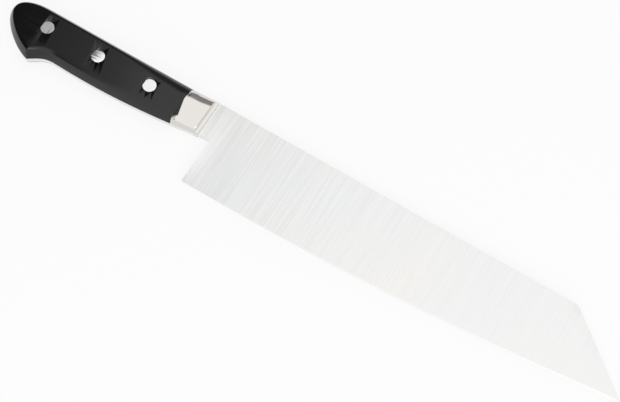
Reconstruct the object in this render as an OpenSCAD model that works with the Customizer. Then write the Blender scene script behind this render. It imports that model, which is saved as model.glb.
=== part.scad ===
// Kitchen knife with a slanted kiritsuke tip, a full tang, half bolsters and riveted scales.
// It lies on its left side: +X runs to the tip, +Y to the spine and +Z out of the right side.

/* [Blade] */
// Length of the blade from heel to tip
blade_len = 240; // [210:1:270]
// Height of the blade at the heel
heel_h = 46.3; // [42:0.1:52]
// Length of the slanted front along the spine
front_len = 39.6; // [30:0.1:60]
// How far the tip lies below the spine
tip_drop = 32.6; // [26:0.1:38]
// Thickness of the spine at the bolster
spine_t = 2.3; // [1.8:0.1:2.8]
// Thickness of the spine at the front shoulder
shoulder_t = 1.5; // [1:0.1:2.2]
// Thickness behind the sharpened edge
edge_t = 0.4; // [0.2:0.05:0.8]
// Height of the sharpened bevel on each side
bevel_h = 0.9; // [0.5:0.1:2]
// Radius where the spine turns into the slanted front
shoulder_r = 2.5; // [0.5:0.1:8]
// Width of the thinned band along the slanted front
front_thin_w = 7; // [2:0.5:15]
// Share of the thickness taken off at the slanted front
front_thin = 0.35; // [0:0.05:0.6]

/* [Edge curve] */
// Rise of the edge at the heel, in degrees
heel_rise = 0.3; // [0:0.1:3]
// Rise of the edge at the tip, in degrees
tip_rise = 6.8; // [3:0.1:12]
// Reach of the flat stretch from the heel
heel_reach = 45; // [20:1:80]
// Reach of the curved stretch from the tip
tip_reach = 120; // [60:1:140]

/* [Neck] */
// Height of the neck between spine and choil
neck_h = 20.6; // [17:0.1:25]
// Radius of the choil between neck and heel
choil_r = 1.8; // [0.8:0.1:3]
// How far the back of the heel leans, in degrees
heel_lean = 1.6; // [0:0.1:6]
// Radius of the heel's corner
heel_r = 1; // [0.3:0.1:3]
// Length over which the neck blends into the ground faces
neck_blend = 14; // [8:1:30]

/* [Bolster] */
// Distance from the heel back to the front of the bolster
bolster_gap = 6.7; // [5:0.1:12]
// Length of the bolster
bolster_len = 16.3; // [12:0.1:25]
// Thickness over both bolsters where the scales begin
joint_t = 12.4; // [11:0.1:14]
// Thickness over both bolsters at the front
nose_t = 9.8; // [9:0.1:11]
// Height of the handle where the scales begin
joint_h = 22.4; // [20:0.1:24]
// Radius of the hollow at the front of the bolster
hollow_r = 2.8; // [1.5:0.1:3]
// How far the bolster stands proud of the neck
bolster_step = 0.2; // [0.1:0.05:0.5]
// Radius of the bolster's upper corners
bolster_top_r = 8.5; // [3:0.1:10]
// Radius of the bolster's lower corners
bolster_belly_r = 3; // [2:0.1:4]

/* [Handle] */
// Length of the scales from bolster to butt
scale_len = 107.8; // [95:0.1:120]
// Thickness of the handle along its grip
grip_t = 14.8; // [14:0.1:18]
// Length of the flat stretch on each side
flat_len = 44; // [20:1:50]
// Height of the handle along the grip
grip_h = 25.2; // [24:0.1:27]
// How far the back of the handle lies below the spine
back_drop = 0.7; // [0:0.1:2]
// Thickness of the tang
tang_t = 3; // [2.4:0.1:3.6]
// Depth of the beak below the spine
beak_h = 31.3; // [29:0.1:34]
// Distance from the butt forward to the beak
beak_fwd = 23.4; // [19:0.1:28]
// Length of the hollow in front of the beak
beak_hollow = 14.4; // [11:0.1:19]
// Length of the rounded crown at the butt
crown_len = 18.8; // [14:0.1:22]
// Height of the rounded crown at the butt
crown_h = 10.3; // [8:0.1:13]
// Radius of the corners along the grip
grip_r = 2.3; // [1.2:0.1:3.5]
// Lean of the walls beside the tang, in degrees
wall_lean = 18; // [10:1:25]
// Lean at which the walls turn into the corners, in degrees
wall_turn = 33; // [28:1:40]

/* [Rivets] */
// Diameter of the rivet heads
head_d = 7.1; // [6:0.1:8]
// Thickness of the rivet heads at their middle
head_t = 2; // [1:0.1:2.5]
// Outside diameter of the rivet tubes
tube_d = 4.8; // [4.2:0.1:5.4]
// Diameter of the rivet pins inside the tubes
pin_d = 3.2; // [2.5:0.1:3.6]
// Distance between rivets
rivet_pitch = 32; // [28:0.1:34]
// Distance from the bolster back to the front rivet
rivet_back = 19; // [15:0.1:24]
// Depth of the rivet row below the spine
rivet_depth = 12.6; // [11:0.1:14]
// Diametral clearance of each rivet part in its bore
rivet_clear = 0.04; // [0.02:0.01:0.1]

/* [Hidden] */
$fn = 64;

// Steps along the curves and round the corners
edge_steps = 120;
body_steps = 14;
front_steps = 14;
blend_steps = 5;
face_rows = 9;
top_steps = 20;
crown_steps = 12;
butt_steps = 14;
notch_steps = 10;
belly_steps = 18;
neck_steps = 8;
fillet_steps = 6;
wall_steps = 2;
corner_steps = 6;

// Places along the knife, measured from the heel
seam_x = -bolster_gap;
joint_x = seam_x - bolster_len;
butt_x = joint_x - scale_len;
face_x = seam_x - hollow_r;
ramp_x = face_x - 2.5;
shoulder_x = blade_len - front_len;
flat_end_x = joint_x - 38;
flat_start_x = flat_end_x - flat_len;
corner_run = 52;

// Reach of the cutting bodies past the surfaces that they shape
past = 3;
far = 60;
// Thickness left at the very edge, and what the blank has below it before grinding
apex_t = 0.06;
blank_margin = 0.1;
// How full the ground faces are: 1 is flat
grind = 0.85;

// Where the middle of the knife's resting face lies, measured from the heel
middle = [(butt_x + blade_len) / 2, -heel_h / 2, -grip_t / 2];

function bezier(p, steps, first = 0) =
    [for (i = [first:steps]) let (t = i / steps, s = 1 - t)
        s^3 * p[0] + 3 * s^2 * t * p[1] + 3 * s * t^2 * p[2] + t^3 * p[3]];

function towards(angle, length) = length * [cos(angle), sin(angle)];

function smooth(t) = let (c = min(max(t, 0), 1)) c * c * (3 - 2 * c);

function mix(a, b, t) = a + (b - a) * t;

function reversed(list) = [for (i = [len(list) - 1:-1:0]) list[i]];

// Points of an arc of radius r that rounds corner b between points a and c
function fillet(a, b, c, r) =
    let (u = (a - b) / norm(a - b), v = (c - b) / norm(c - b), half = acos(u * v) / 2,
         hub = b + (u + v) / norm(u + v) * r / sin(half),
         p = b + u * r / tan(half) - hub, q = b + v * r / tan(half) - hub, turn = 180 - 2 * half)
    [for (i = [0:fillet_steps]) let (f = i / fillet_steps)
        hub + (sin((1 - f) * turn) * p + sin(f * turn) * q) / sin(turn)];

// Left-hand unit normal at each point of an open line
function left_normals(line) =
    [for (i = [0:len(line) - 1])
        let (d = line[min(i + 1, len(line) - 1)] - line[max(i - 1, 0)])
        [-d.y, d.x] / norm(d)];

// Solid between rings of points. Each ring is a closed loop in which point i faces point n - 1 - i.
module skin(rings) {
    n = len(rings[0]);
    last = (len(rings) - 1) * n;
    sides = [for (j = [0:len(rings) - 2], i = [0:n - 1])
        let (a = j * n + i, b = j * n + (i + 1) % n)
        each [[a, b + n, b], [a, a + n, b + n]]];
    start = [for (i = [0:(n - 3) / 2]) let (k = n - 1 - i)
        each [[i, i + 1, k], if (i + 1 < k - 1) [i + 1, k - 1, k]]];
    end = [for (f = start) [last + f[0], last + f[2], last + f[1]]];
    polyhedron(points = [for (r = rings) each r], faces = concat(sides, start, end));
}

// The edge, from the heel to a little past the tip
heel = [0, -heel_h];
tip = [blade_len, -tip_drop];
shoulder = [shoulder_x, 0];
front_dir = (tip - shoulder) / norm(tip - shoulder);
edge_line = concat(
    bezier([heel, heel + towards(heel_rise, heel_reach), tip - towards(tip_rise, tip_reach), tip],
           edge_steps),
    [tip + towards(tip_rise, 2 * past)]);
function edge_y(x) = lookup(x, edge_line);

// The back of the handle, over the given places and then round the butt to the beak
beak = [butt_x + beak_fwd, -beak_h];
function back_y(x) = -back_drop * min(max((seam_x - x) / bolster_len, 0), 1);
crown_end = [butt_x, -back_drop - crown_h];
crown_curve = [[butt_x + crown_len, -back_drop], [butt_x + crown_len * 0.47, -back_drop],
               [butt_x, -back_drop - crown_h * 0.27], crown_end];
butt_curve = [crown_end, [butt_x, mix(crown_end.y, beak.y, 0.32)],
              [beak.x - beak_fwd * 0.45, mix(beak.y, crown_end.y, 0.14)], beak];
function back_line(xs) =
    concat([for (x = xs) [x, back_y(x)]], bezier(crown_curve, crown_steps),
           bezier(butt_curve, butt_steps, 1));

// The belly of the handle, from the beak past the grip and the bolster to the neck
grip_y = -back_drop - grip_h;
joint_y = -back_drop - joint_h;
notch_end = [beak.x + beak_hollow, grip_y];
belly_out = [23, -0.85];
notch_curve = [beak, beak + [beak_hollow * 0.34, (grip_y - beak.y) * 0.57],
               notch_end - belly_out * 0.3, notch_end];
belly_curve = [notch_end, notch_end + belly_out, [joint_x - 27, grip_y - 0.3], [joint_x, joint_y]];
neck_curve = [[joint_x, joint_y], [joint_x + bolster_len * 0.55, joint_y + 0.9],
              [seam_x - bolster_len * 0.14, -neck_h - 0.15], [seam_x * 0.4, -neck_h]];
belly_line = concat(bezier(notch_curve, notch_steps), bezier(belly_curve, belly_steps, 1),
                    bezier(neck_curve, neck_steps, 1));

// Half the thickness of the finished handle and bolster along its length
function side_h(x) =
    let (off_flat = max(flat_start_x - x, x - flat_end_x, 0) / (joint_x - flat_end_x))
    x < joint_x ? (grip_t - (grip_t - joint_t) * off_flat^2) / 2
                : mix(joint_t, nose_t, (x - joint_x) / (face_x - joint_x)) / 2;

// Lean of the side face away from level at a place along the grip, in degrees
function side_lean(x) = atan((side_h(x - 0.5) - side_h(x + 0.5)));

// Radius of a corner along the handle, which grows from the grip's to the bolster's
function corner_r(x, bolster_r) =
    min(mix(grip_r, bolster_r, smooth((x - joint_x + corner_run) / corner_run)),
        (side_h(x) - tang_t / 2) * 0.98 / (1 - sin(wall_turn)));

// How far in from the outline, and how high, the surface lies where it has the given lean
leans = concat([for (i = [0:wall_steps]) mix(wall_lean, wall_turn, i / wall_steps)],
               [for (i = [1:corner_steps]) mix(wall_turn, 90, i / corner_steps)]);
function section(x, bolster_r, lean) =
    let (r = corner_r(x, bolster_r),
         wall_r = (side_h(x) - tang_t / 2 - r * (1 - sin(wall_turn)))
             / (sin(wall_turn) - sin(wall_lean)),
         on_wall = min(lean, wall_turn), on_corner = max(lean, wall_turn))
    [wall_r * (cos(wall_lean) - cos(on_wall)) + r * (cos(wall_turn) - cos(on_corner)),
     tang_t / 2 + wall_r * (sin(on_wall) - sin(wall_lean))
         + r * (sin(on_corner) - sin(wall_turn))];

// Plate with its corners rounded along one line and plain walls through the closing points
module rounded_plate(line, closing, bolster_r) {
    normals = left_normals(line);
    skin([for (lean = leans)
        concat([for (i = [0:len(line) - 1])
                    let (s = section(line[i].x, bolster_r, lean), p = line[i] + s[0] * normals[i])
                    [p.x, p.y, s[1]]],
               [for (c = closing) [c.x, c.y, section(c.x, bolster_r, lean)[1]]])]);
}

// Upper half of the grip's form, from the bolster to the butt: two plates that meet in the beak
module grip_form() {
    xs = concat([joint_x + past], [for (i = [0:top_steps - 1])
        mix(joint_x, butt_x + crown_len, i / top_steps)]);
    back = back_line(xs);
    beyond = beak + (beak - back[len(back) - 2]) * 6;
    opposite = 2 * (len(xs) + crown_steps) - len(back) - 1;
    belly = [for (p = belly_line) if (p.x < joint_x + 2 * past) p];
    before = beak + (belly[0] - belly[1]) * 30;
    intersection() {
        rounded_plate(concat(back, [beyond]), [for (i = [opposite:-1:0]) [back[i].x, -far]],
                      bolster_top_r);
        rounded_plate(concat([before], belly),
                      [for (p = reversed(concat([before], belly))) [p.x, far / 4]],
                      bolster_belly_r);
    }
}

// Upper half of the bolster's form, still without its hollow front
module bolster_form() {
    top = [for (i = [top_steps / 2:-1:0])
        let (x = mix(joint_x - past, seam_x + past, 2 * i / top_steps)) [x, back_y(x)]];
    belly = [for (p = belly_line) if (p.x > joint_x - 2 * past) p];
    intersection() {
        rounded_plate(top, [for (p = reversed(top)) [p.x, -far]], bolster_top_r);
        rounded_plate(belly, [for (p = reversed(belly)) [p.x, far / 4]], bolster_belly_r);
    }
}

// Outline of the steel blank, drawn a little below the finished edge
module blank_outline() {
    below = [0, -blank_margin];
    heel_back = heel + below - [heel_r, 0];
    neck_end = [heel_back.x + tan(heel_lean) * (heel_h - neck_h), -neck_h];
    low_edge = [for (i = [edge_steps - 6:-6:6]) edge_line[i] + below];
    grip = reversed(back_line([seam_x, joint_x]));
    polygon(concat(fillet([0, 0], shoulder, tip, shoulder_r), [tip + front_dir], low_edge,
                   fillet(low_edge[len(low_edge) - 1], heel_back, neck_end, heel_r),
                   fillet(heel_back, neck_end, [seam_x, -neck_h], choil_r),
                   reversed(belly_line), [for (i = [1:len(grip) - 1]) grip[i]]));
}

// Half the thickness of the ground blade at a place, where v runs from 0 at the edge to 1 at the spine
function ground_h(x, y, v, bevel) =
    let (spine_h = mix(spine_t, shoulder_t, max(x, 0) / shoulder_x) / 2,
         face = v < bevel ? mix(apex_t, edge_t, v / bevel) / 2
             : mix(edge_t / 2, spine_h, ((v - bevel) / (1 - bevel))^grind),
         neck = (1 - smooth((x - seam_x) / neck_blend))
             * smooth(v / (1 - (neck_h + 2 * choil_r) / heel_h)),
         inside = ([x, y] - shoulder) * [front_dir.y, -front_dir.x] / front_thin_w,
         thinned = 1 - front_thin * (1 - min(max(inside, 0), 1))^2)
    mix(apex_t / 2, mix(face, spine_t / 2, neck), thinned);

// The blank's thickness everywhere: an even tang, a ramp under the bolster and the ground blade
module ground_body() {
    xs = concat([for (i = [0:blend_steps - 1]) mix(seam_x, seam_x + neck_blend, i / blend_steps)],
                [for (i = [0:body_steps - 1])
                    mix(seam_x + neck_blend, shoulder_x - front_thin_w, i / body_steps)],
                [for (i = [0:front_steps])
                    mix(shoulder_x - front_thin_w, blade_len + past, i / front_steps)]);
    over = 1 + past / heel_h;
    function loop(x, ys, zs) = concat([for (i = [0:len(ys) - 1]) [x, ys[i], -zs[i]]],
        [for (i = [len(ys) - 1:-1:0]) [x, ys[i], zs[i]]]);
    function blade_loop(x) =
        let (low = edge_y(x), bevel = -bevel_h / low,
             vs = concat([0], [for (i = [0:face_rows]) mix(bevel, 1, i / face_rows)], [over]),
             ys = [for (v = vs) low * (1 - v)])
        loop(x, ys, [for (i = [0:len(vs) - 1]) ground_h(x, ys[i], min(vs[i], 1), bevel)]);
    function tang_loop(x) = let (from_blade = blade_loop(seam_x))
        [for (p = from_blade) [x, p.y, sign(p.z) * tang_t / 2]];
    skin(concat([tang_loop(butt_x - past), tang_loop(ramp_x)], [for (x = xs) blade_loop(x)]));
}

rivet_xs = [for (i = [0:2]) joint_x - rivet_back - i * rivet_pitch];

// Bore of one diameter along each rivet
module rivet_bores(d, low, high) {
    for (x = rivet_xs) translate([x, -rivet_depth, low]) cylinder(d = d + rivet_clear, h = high - low);
}

module blade() {
    color("gainsboro") difference() {
        intersection() {
            ground_body();
            linear_extrude(2 * tang_t, center = true) blank_outline();
        }
        rivet_bores(tube_d, -tang_t, tang_t);
    }
}

// Right half bolster: it follows the ramp of the blank, and its front is hollowed to a thin lip
module bolster() {
    lip_z = spine_t / 2 + bolster_step;
    color("silver") difference() {
        bolster_form();
        translate([joint_x - far, -far, 0]) cube([far, 2 * far, far]);
        rotate([90, 0, 0]) linear_extrude(2 * far, center = true)
            polygon([[joint_x, 0], [joint_x, tang_t / 2], [ramp_x, tang_t / 2],
                     [seam_x, spine_t / 2], [seam_x, 0]]);
        translate([face_x, -far, lip_z + hollow_r]) cube([far, 2 * far, far]);
        translate([seam_x, -far, 0]) cube([far, 2 * far, far]);
        translate([seam_x, 0, lip_z + hollow_r]) rotate([90, 0, 0])
            cylinder(r = hollow_r, h = 2 * far, center = true, $fn = 96);
    }
}

// Right scale, bored for the tubes and counterbored for the heads
module scale() {
    color([0.1, 0.1, 0.11]) difference() {
        intersection() {
            grip_form();
            translate([joint_x - 3 * far, -far, 0]) cube([3 * far, 2 * far, far]);
        }
        rivet_bores(tube_d, 0, far);
        for (x = rivet_xs) translate([x, -rivet_depth, side_h(x) - head_t])
            cylinder(d = head_d + rivet_clear, h = far);
    }
}

// Space outside the side face at one rivet, which trims its head flush
module above_side(x) {
    translate([x, -rivet_depth, side_h(x)]) rotate([0, side_lean(x), 0])
        translate([-head_d, -head_d, 0]) cube(2 * head_d);
}

module rivet_pin(x) {
    base = side_h(x) - head_t;
    color("whitesmoke") difference() {
        translate([x, -rivet_depth, 0]) union() {
            translate([0, 0, base]) cylinder(d = head_d, h = 2 * head_t);
            translate([0, 0, -base + 2 * rivet_clear]) cylinder(d = pin_d, h = 2 * base);
        }
        above_side(x);
    }
}

module rivet_tube(x) {
    base = side_h(x) - head_t;
    color("whitesmoke") difference() {
        translate([x, -rivet_depth, 0]) union() {
            translate([0, 0, -base - 2 * head_t]) cylinder(d = head_d, h = 2 * head_t);
            translate([0, 0, -base - head_t / 2]) cylinder(d = tube_d, h = 2 * base + head_t / 2);
        }
        translate([x, -rivet_depth, -base]) cylinder(d = pin_d + rivet_clear, h = far);
        mirror([0, 0, 1]) above_side(x);
    }
}

// Sets a piece down with the knife's origin under the middle of its outline
module placed() {
    translate(-middle) children();
}

placed() blade();
placed() bolster();  // bolster_right
placed() mirror([0, 0, 1]) bolster();  // bolster_left
placed() scale();  // scale_right
placed() mirror([0, 0, 1]) scale();  // scale_left
placed() rivet_pin(rivet_xs[0]);  // rivet_front_pin
placed() rivet_tube(rivet_xs[0]);  // rivet_front_tube
placed() rivet_pin(rivet_xs[1]);  // rivet_middle_pin
placed() rivet_tube(rivet_xs[1]);  // rivet_middle_tube
placed() rivet_pin(rivet_xs[2]);  // rivet_rear_pin
placed() rivet_tube(rivet_xs[2]);  // rivet_rear_tube
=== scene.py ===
from math import cos, radians, sin

import bpy
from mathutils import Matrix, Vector


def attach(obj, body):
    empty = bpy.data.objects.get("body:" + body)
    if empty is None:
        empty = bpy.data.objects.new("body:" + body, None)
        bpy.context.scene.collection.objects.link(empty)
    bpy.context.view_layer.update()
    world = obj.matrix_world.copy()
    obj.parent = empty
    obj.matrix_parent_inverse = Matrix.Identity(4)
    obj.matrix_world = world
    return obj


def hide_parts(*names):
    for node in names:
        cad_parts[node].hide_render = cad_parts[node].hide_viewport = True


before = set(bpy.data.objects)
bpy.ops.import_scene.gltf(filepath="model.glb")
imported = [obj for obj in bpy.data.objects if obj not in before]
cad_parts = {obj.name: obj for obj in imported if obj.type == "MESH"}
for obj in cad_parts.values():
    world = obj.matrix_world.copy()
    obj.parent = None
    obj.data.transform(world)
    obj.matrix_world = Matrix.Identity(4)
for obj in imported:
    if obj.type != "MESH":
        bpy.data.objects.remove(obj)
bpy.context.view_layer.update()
scene = bpy.context.scene
scene.view_settings.view_transform = "Standard"

# Camera
# The knife is seen from above its right side, from in front of the edge, through a long lens.
# It fills the picture from corner to corner.
MM = 0.001
CAMERA_PLACE = Vector((156.4, -243.2, 695.9)) * MM
AZIMUTH = radians(31.65)
ELEVATION = radians(67.33)
LENS_MM = 86.5
SENSOR_MM = 36

camera_data = bpy.data.cameras.new("camera")
camera_data.sensor_width = SENSOR_MM
camera_data.lens = LENS_MM
camera = bpy.data.objects.new("camera", camera_data)
backwards = Vector((sin(AZIMUTH) * cos(ELEVATION), -cos(AZIMUTH) * cos(ELEVATION), sin(ELEVATION)))
camera.location = CAMERA_PLACE
camera.rotation_euler = backwards.to_track_quat("Z", "Y").to_euler()
scene.collection.objects.link(camera)
scene.camera = camera

# Blade
# One blank of stainless steel holds the ground blade, the neck and the full tang. Its faces are
# polished across the blade to a fine satin, which shows as streaks from edge to spine.
CLOUD_MM = 45
STREAK_LOW, STREAK_HIGH = 0.3, 0.7
BUMP_STRENGTH = 0.3
WELD_MM = 0.01


def linear(hex_colour):
    """An sRGB hex colour as linear red, green, blue and alpha."""
    parts = [int(hex_colour[i:i + 2], 16) / 255 for i in (1, 3, 5)]
    return [p / 12.92 if p <= 0.04045 else ((p + 0.055) / 1.055) ** 2.4 for p in parts] + [1]


def add(tree, kind, inputs, **settings):
    """Adds a node. Each input gets a value, or a link from the socket given for it."""
    new = tree.nodes.new(kind)
    for name, value in settings.items():
        setattr(new, name, value)
    for name, value in inputs.items():
        if isinstance(value, bpy.types.NodeSocket):
            tree.links.new(value, new.inputs[name])
        else:
            new.inputs[name].default_value = value
    return new


def surface(name, colours, roughness, streak_mm, bump_mm, **shader):
    """A material whose roughness and height follow streaks, and whose colour drifts slowly."""
    material = bpy.data.materials.new(name)
    material.use_nodes = True
    tree = material.node_tree
    place = add(tree, "ShaderNodeTexCoord", {}).outputs["Object"]
    stretched = add(tree, "ShaderNodeMapping",
                    {"Vector": place, "Scale": [1 / (size * MM) for size in streak_mm]})
    streaks = add(tree, "ShaderNodeTexNoise",
                  {"Vector": stretched.outputs["Vector"], "Scale": 1, "Detail": 3}).outputs["Fac"]
    clouds = add(tree, "ShaderNodeTexNoise",
                 {"Vector": place, "Scale": 1 / (CLOUD_MM * MM), "Detail": 2}).outputs["Fac"]
    colour = add(tree, "ShaderNodeMix", {0: clouds, 6: linear(colours[0]), 7: linear(colours[1])},
                 data_type="RGBA")
    rough = add(tree, "ShaderNodeMapRange",
                {"Value": streaks, "From Min": STREAK_LOW, "From Max": STREAK_HIGH,
                 "To Min": roughness[0], "To Max": roughness[1]})
    bump = add(tree, "ShaderNodeBump",
               {"Height": streaks, "Strength": BUMP_STRENGTH, "Distance": bump_mm * MM})
    principled = tree.nodes["Principled BSDF"]
    tree.links.new(colour.outputs[2], principled.inputs["Base Color"])
    tree.links.new(rough.outputs["Result"], principled.inputs["Roughness"])
    tree.links.new(bump.outputs["Normal"], principled.inputs["Normal"])
    for socket, value in shader.items():
        principled.inputs[socket].default_value = value
    return material


def dress(cad_name, material, sharp_above):
    """A welded copy of a CAD node, smooth up to the given angle, stands for that node."""
    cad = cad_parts[cad_name]
    piece = bpy.data.objects.new(cad_name + "_finished", cad.data.copy())
    scene.collection.objects.link(piece)
    piece.data.transform(cad.matrix_world)
    piece.data.materials.clear()
    piece.data.materials.append(material)
    bpy.ops.object.select_all(action="DESELECT")
    piece.select_set(True)
    bpy.context.view_layer.objects.active = piece
    bpy.ops.object.mode_set(mode="EDIT")
    bpy.ops.mesh.select_all(action="SELECT")
    bpy.ops.mesh.remove_doubles(threshold=WELD_MM * MM)
    bpy.ops.object.mode_set(mode="OBJECT")
    bpy.ops.object.shade_smooth_by_angle(angle=radians(sharp_above))
    normals = piece.modifiers.new("weighted", "WEIGHTED_NORMAL")
    normals.keep_sharp = True
    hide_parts(cad_name)
    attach(piece, "root")


satin_steel = surface("satin_stainless_steel", ("#e4e6e9", "#eae8e4"), (0.2, 0.28),
                      streak_mm=(0.8, 40, 40), bump_mm=0.004, Metallic=1)
dress("blade", satin_steel, sharp_above=12)

# Bolsters
# A half bolster of stainless steel is welded to each side of the neck. It is buffed to a mirror,
# so its corners and its hollow front show the room as dark and bright bands.
mirror_steel = surface("buffed_stainless_steel", ("#d8d4ce", "#dedbd7"), (0.06, 0.1),
                       streak_mm=(6, 6, 6), bump_mm=0.003, Metallic=1)
for side in ("right", "left"):
    dress("bolster_" + side, mirror_steel, sharp_above=25)

# Scales
# The two scales are machined from black resin and polished with the tang. The polish leaves a
# low gloss with faint streaks along the grip.
black_resin = surface("polished_black_resin", ("#070708", "#0c0c0d"), (0.14, 0.22),
                      streak_mm=(30, 0.9, 0.9), bump_mm=0.004, IOR=1.5)
for side in ("right", "left"):
    dress("scale_" + side, black_resin, sharp_above=25)

# Rivets
# Each rivet is a tube and a pin pressed together through scales and tang. The heads are ground
# flush with the scales, so they are bright discs with a fine satin face.
rivet_steel = surface("ground_rivet_steel", ("#efefee", "#f4f4f3"), (0.18, 0.26),
                      streak_mm=(2, 0.3, 2), bump_mm=0.003, Metallic=1)
for place in ("front", "middle", "rear"):
    for half in ("pin", "tube"):
        dress("rivet_" + place + "_" + half, rivet_steel, sharp_above=30)

# Floor
# A plain white table. Camera and mirror rays see it nearly white, and it keeps a soft shadow.
# It lies a hair below the knife, so that the two never share a face.
FLOOR_SIZE = 6
FLOOR_DROP = 0.1 * MM
WHITE_SHARE = 0.85

bpy.ops.object.select_all(action="DESELECT")
bpy.ops.mesh.primitive_plane_add(size=FLOOR_SIZE, location=(0, 0, -FLOOR_DROP))
floor = bpy.context.object
floor.name = "floor"
paper = bpy.data.materials.new("white_table")
paper.use_nodes = True
tree = paper.node_tree
rays = add(tree, "ShaderNodeLightPath", {}).outputs
seen = add(tree, "ShaderNodeMath", {0: rays["Is Camera Ray"], 1: rays["Is Glossy Ray"]},
           operation="MAXIMUM").outputs[0]
share = add(tree, "ShaderNodeMath", {0: seen, 1: WHITE_SHARE}, operation="MULTIPLY").outputs[0]
matt = add(tree, "ShaderNodeBsdfDiffuse", {"Color": linear("#f4f4f4")}).outputs[0]
white = add(tree, "ShaderNodeEmission", {"Color": linear("#ffffff"), "Strength": 1}).outputs[0]
mixed = add(tree, "ShaderNodeMixShader", {0: share, 1: matt, 2: white}).outputs[0]
tree.links.new(mixed, tree.nodes["Material Output"].inputs["Surface"])
floor.data.materials.append(paper)

# Light
# A white studio: mirrors see a bright room that darkens to the left and towards the back, which
# gives the handle's sheen its fade to the butt and the bolster its darker upper corner.
LEFT_DARK, LEFT_BRIGHT = (-0.44, 0.06), (-0.3, 1.15)
BACK_BRIGHT, BACK_DARK = (0.45, 1), (0.75, 0.25)
ROOM_LEVEL = 0.6
SOFTBOX_PLACE = (0.7, -0.7, 1.1)
SOFTBOX_SIZE = 1.2
SOFTBOX_WATTS = 12

world = bpy.data.worlds.new("studio")
world.use_nodes = True
scene.world = world
tree = world.node_tree
rays = add(tree, "ShaderNodeLightPath", {}).outputs
direction = add(tree, "ShaderNodeTexCoord", {}).outputs["Generated"]
axes = add(tree, "ShaderNodeSeparateXYZ", {"Vector": direction}).outputs


def fade(along, start, end):
    """Brightness that runs from start to end, each a (direction, level) pair."""
    return add(tree, "ShaderNodeMapRange",
               {"Value": along, "From Min": start[0], "From Max": end[0],
                "To Min": start[1], "To Max": end[1]}).outputs["Result"]


mirrored = add(tree, "ShaderNodeMath", {0: fade(axes["X"], LEFT_DARK, LEFT_BRIGHT),
                                        1: fade(axes["Y"], BACK_BRIGHT, BACK_DARK)},
               operation="MULTIPLY").outputs[0]
unseen = add(tree, "ShaderNodeMix",
             {0: rays["Is Glossy Ray"], 2: ROOM_LEVEL, 3: mirrored}).outputs[0]
level = add(tree, "ShaderNodeMix", {0: rays["Is Camera Ray"], 2: unseen, 3: 1}).outputs[0]
tree.links.new(level, tree.nodes["Background"].inputs["Strength"])
tree.nodes["Background"].inputs["Color"].default_value = linear("#ffffff")

lamp_data = bpy.data.lights.new("softbox", "AREA")
lamp_data.size = SOFTBOX_SIZE
lamp_data.energy = SOFTBOX_WATTS
lamp = bpy.data.objects.new("softbox", lamp_data)
lamp.location = SOFTBOX_PLACE
lamp.rotation_euler = lamp.location.to_track_quat("Z", "Y").to_euler()
scene.collection.objects.link(lamp)
